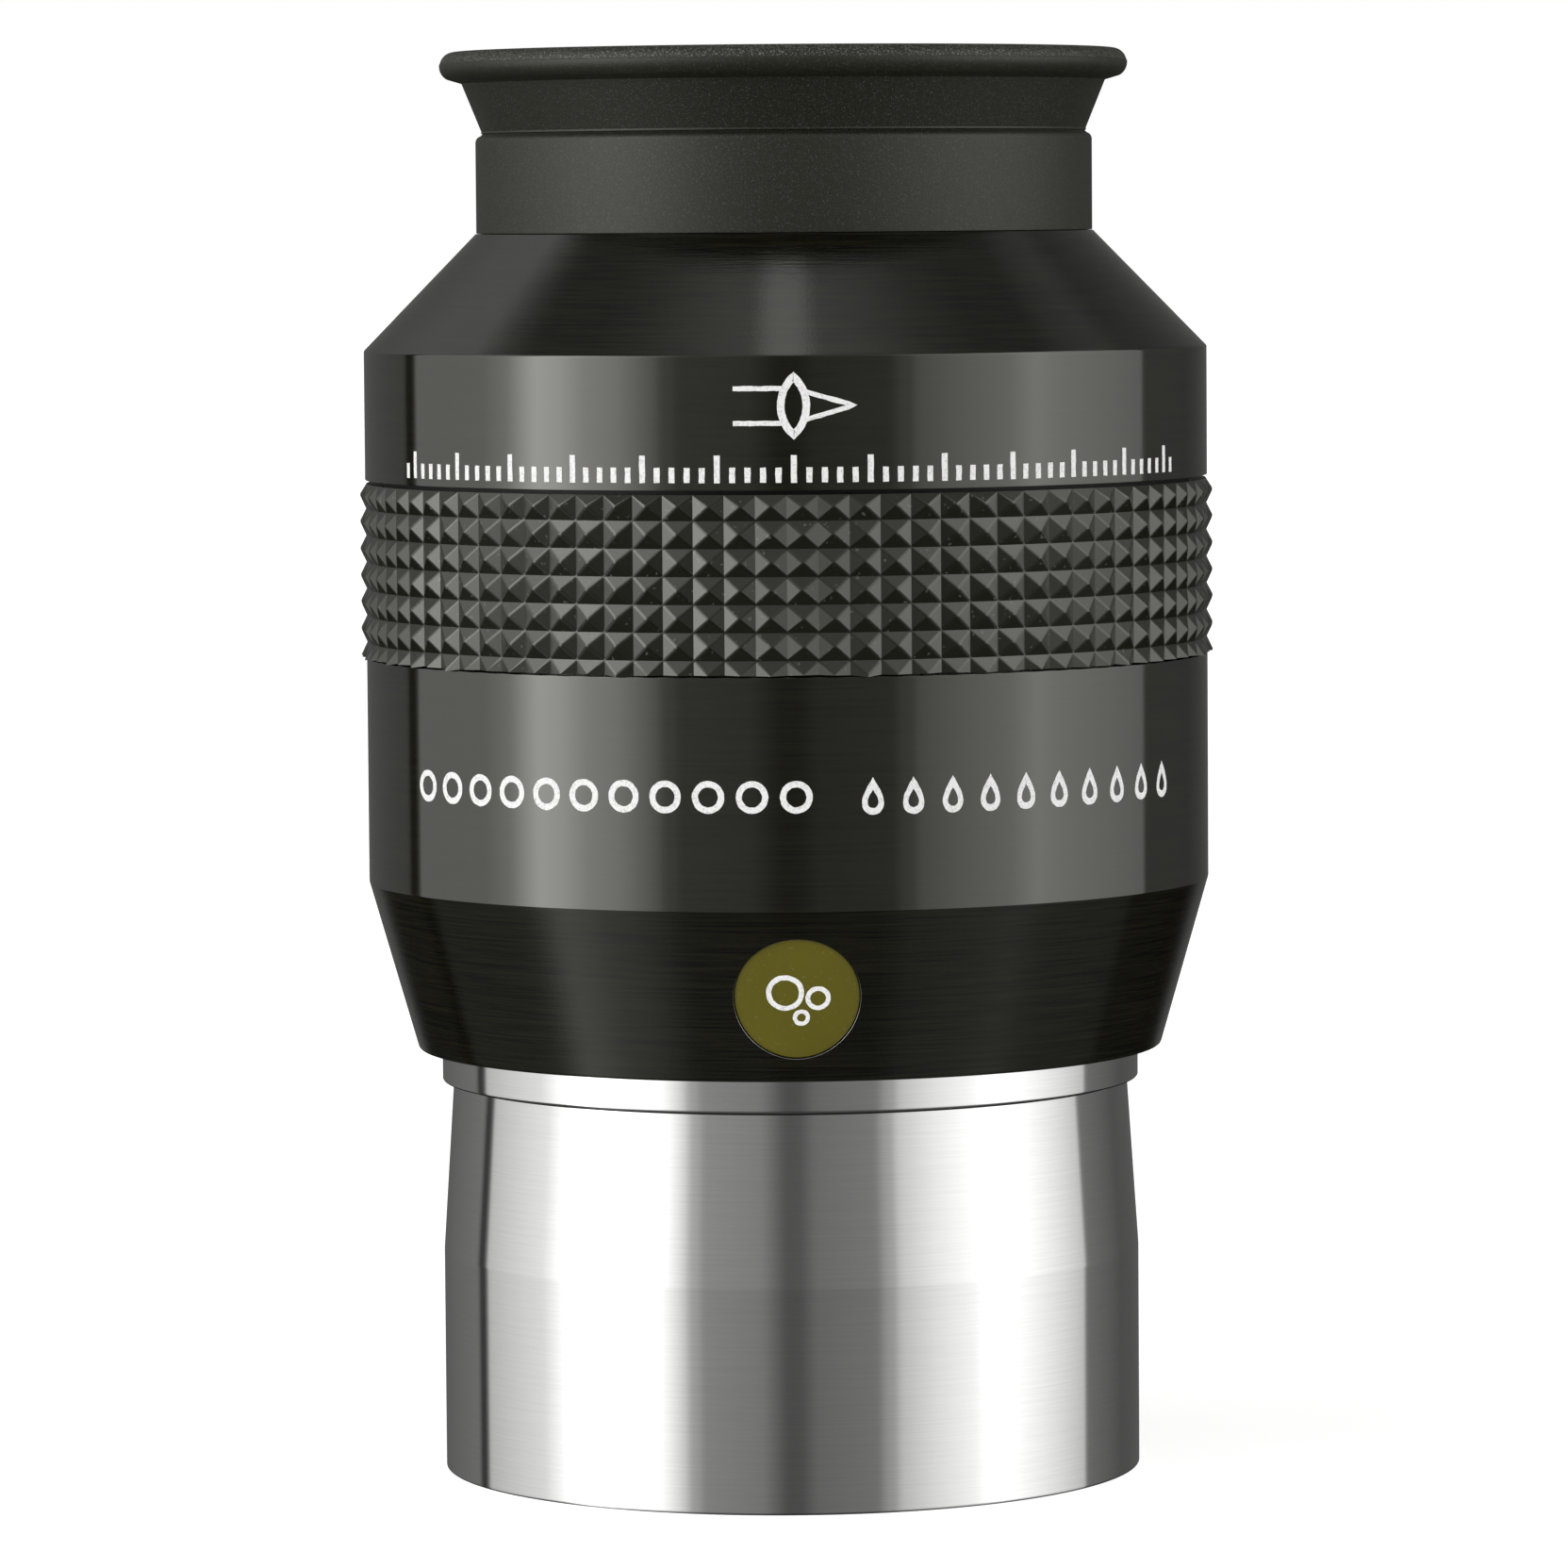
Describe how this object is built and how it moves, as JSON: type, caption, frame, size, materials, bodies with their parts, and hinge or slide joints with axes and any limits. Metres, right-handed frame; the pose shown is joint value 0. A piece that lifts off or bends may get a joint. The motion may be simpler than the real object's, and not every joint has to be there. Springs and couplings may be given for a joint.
{
  "type": "telescope eyepiece",
  "caption": "Sealed two-inch telescope eyepiece with a tapered barrel, ribbed rubber grip, coned body and fold-down rubber eyecup.",
  "frame": {"origin": "centre of the barrel's lower end face, on the optical axis", "axes": "+Z along the optical axis towards the eye; -Y towards the front, where the badge is; +X to the viewer's right"},
  "size_m": [0.0622, 0.0622, 0.1031],
  "materials": {
    "chrome": "satin bright plated, turned",
    "black_anodised": "satin black anodised, fine turned",
    "blackened_metal": "matte blackened against stray light",
    "rubber": "satin moulded",
    "seal_rubber": "smooth",
    "glass": "polished, anti-reflection coated",
    "olive_label": "glossy domed disc",
    "steel": "turned"
  },
  "bodies": {
    "housing": {"lower_housing": "black_anodised", "badge": "olive_label", "upper_housing": "black_anodised", "housing_seal": "seal_rubber", "port_washer": "seal_rubber", "port_screw": "steel", "rubber_grip": "rubber", "field_flint_lens": "glass", "field_crown_lens": "glass", "middle_lens": "glass", "eye_crown_lens": "glass", "eye_flint_lens": "glass", "lens_cell": "blackened_metal", "cell_lower_seal": "seal_rubber", "cell_upper_seal": "seal_rubber", "cell_lock_ring": "blackened_metal", "upper_spacer": "blackened_metal", "lower_spacer": "blackened_metal", "eye_lens_seal": "seal_rubber", "eye_lens_ring": "blackened_metal", "field_lens_seal": "seal_rubber", "field_lens_ring": "blackened_metal"},
    "eyecup": {"eyecup_band": "rubber", "eyecup_skirt": "rubber"},
    "cup_lip": {"eyecup_lip": "rubber"},
    "barrel_carrier": {"barrel_seal": "seal_rubber"},
    "barrel": {"barrel": "chrome", "field_stop": "blackened_metal"}
  },
  "joints": [
    {"name": "eyecup_pull_off", "type": "slide", "parent": "housing", "child": "eyecup", "axis": [0, 0, 1], "range_m": [0, 0.012]},
    {"name": "eyecup_fold", "type": "slide", "parent": "eyecup", "child": "cup_lip", "axis": [0, 0, -1], "range_m": [0, 0.0096], "deforming": ["eyecup_skirt"]},
    {"name": "barrel_advance", "type": "slide", "parent": "housing", "child": "barrel_carrier", "axis": [0, 0, -1], "range_m": [0, 0.00376]},
    {"name": "barrel_turn", "type": "hinge", "parent": "barrel_carrier", "child": "barrel", "pos_m": [0, 0, 0], "axis": [0, 0, -1], "range_deg": [0, 1800]}
  ],
  "couplings": [
    {"joint": "barrel_advance", "follows": "barrel_turn", "m_per_rad": 0.00011937}
  ]
}
